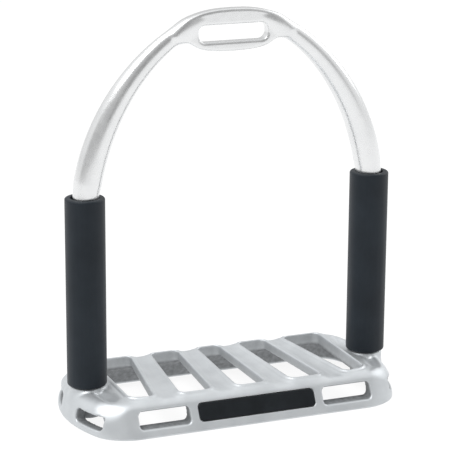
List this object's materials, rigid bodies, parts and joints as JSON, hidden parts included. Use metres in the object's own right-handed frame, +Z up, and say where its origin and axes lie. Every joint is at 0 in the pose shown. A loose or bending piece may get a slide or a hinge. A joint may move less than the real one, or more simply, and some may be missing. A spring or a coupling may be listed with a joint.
{
  "type": "stirrup iron",
  "caption": "Jointed stirrup iron: open cast tread with slanted bars, rubber-sleeved flexing arms and a polished bow with a leather eye.",
  "frame": {"origin": "on the ground under the middle of the tread, midway between the arms", "axes": "+Z up along the arms, +X across the tread from the left arm to the right arm, -Y towards the front wall with the name plate"},
  "size_m": [0.1578, 0.0743, 0.1815],
  "materials": {
    "tread_alloy": "satin cast alloy, tumbled edges, soft grey grain",
    "bow_steel": "satin to bright polished stainless steel",
    "rubber": "matt blue-black rubber",
    "plate": "matt black blank name plate",
    "hardware": "machined steel, light oil"
  },
  "bodies": {
    "tread": {"tread": "tread_alloy", "front_plate": "plate", "left_stud": "hardware", "left_screw": "hardware", "left_washer": "hardware", "left_tilt_pin": "hardware", "right_stud": "hardware", "right_screw": "hardware", "right_washer": "hardware", "right_tilt_pin": "hardware"},
    "left_knuckle": {"left_knuckle": "hardware", "left_lower_pin": "hardware"},
    "right_knuckle": {"right_knuckle": "hardware", "right_lower_pin": "hardware"},
    "left_link": {"left_link": "hardware", "left_sleeve": "rubber"},
    "right_link": {"right_link": "hardware", "right_sleeve": "rubber"},
    "bow": {"bow": "bow_steel", "left_upper_pin": "hardware"},
    "right_upper_pin": {"right_upper_pin": "hardware"}
  },
  "joints": [
    {"name": "left_tilt", "type": "hinge", "parent": "tread", "child": "left_knuckle", "pos_m": [-0.069, 0, 0.03], "axis": [1, 0, 0], "range_deg": [-15, 15], "stiffness_Nm_per_rad": 3, "deforming": ["left_sleeve"]},
    {"name": "right_tilt", "type": "hinge", "parent": "tread", "child": "right_knuckle", "pos_m": [0.069, 0, 0.03], "axis": [1, 0, 0], "range_deg": [-15, 15], "stiffness_Nm_per_rad": 3, "deforming": ["right_sleeve"]},
    {"name": "left_sway", "type": "hinge", "parent": "left_knuckle", "child": "left_link", "pos_m": [-0.069, 0, 0.048], "axis": [0, 1, 0], "range_deg": [-8, 8], "stiffness_Nm_per_rad": 3},
    {"name": "right_sway", "type": "hinge", "parent": "right_knuckle", "child": "right_link", "pos_m": [0.069, 0, 0.048], "axis": [0, 1, 0], "range_deg": [-8, 8], "stiffness_Nm_per_rad": 3},
    {"name": "bow_level", "type": "hinge", "parent": "left_link", "child": "bow", "pos_m": [-0.069, 0, 0.084], "axis": [0, 1, 0], "range_deg": [-8, 8], "stiffness_Nm_per_rad": 3},
    {"name": "right_level", "type": "hinge", "parent": "right_link", "child": "right_upper_pin", "pos_m": [0.069, 0, 0.084], "axis": [0, 1, 0], "range_deg": [-8, 8]}
  ],
  "couplings": [
    {"joint": "right_tilt", "follows": "left_tilt", "ratio": 1},
    {"joint": "right_sway", "follows": "left_sway", "ratio": 1},
    {"joint": "bow_level", "follows": "left_sway", "ratio": -1},
    {"joint": "right_level", "follows": "left_sway", "ratio": -1}
  ]
}
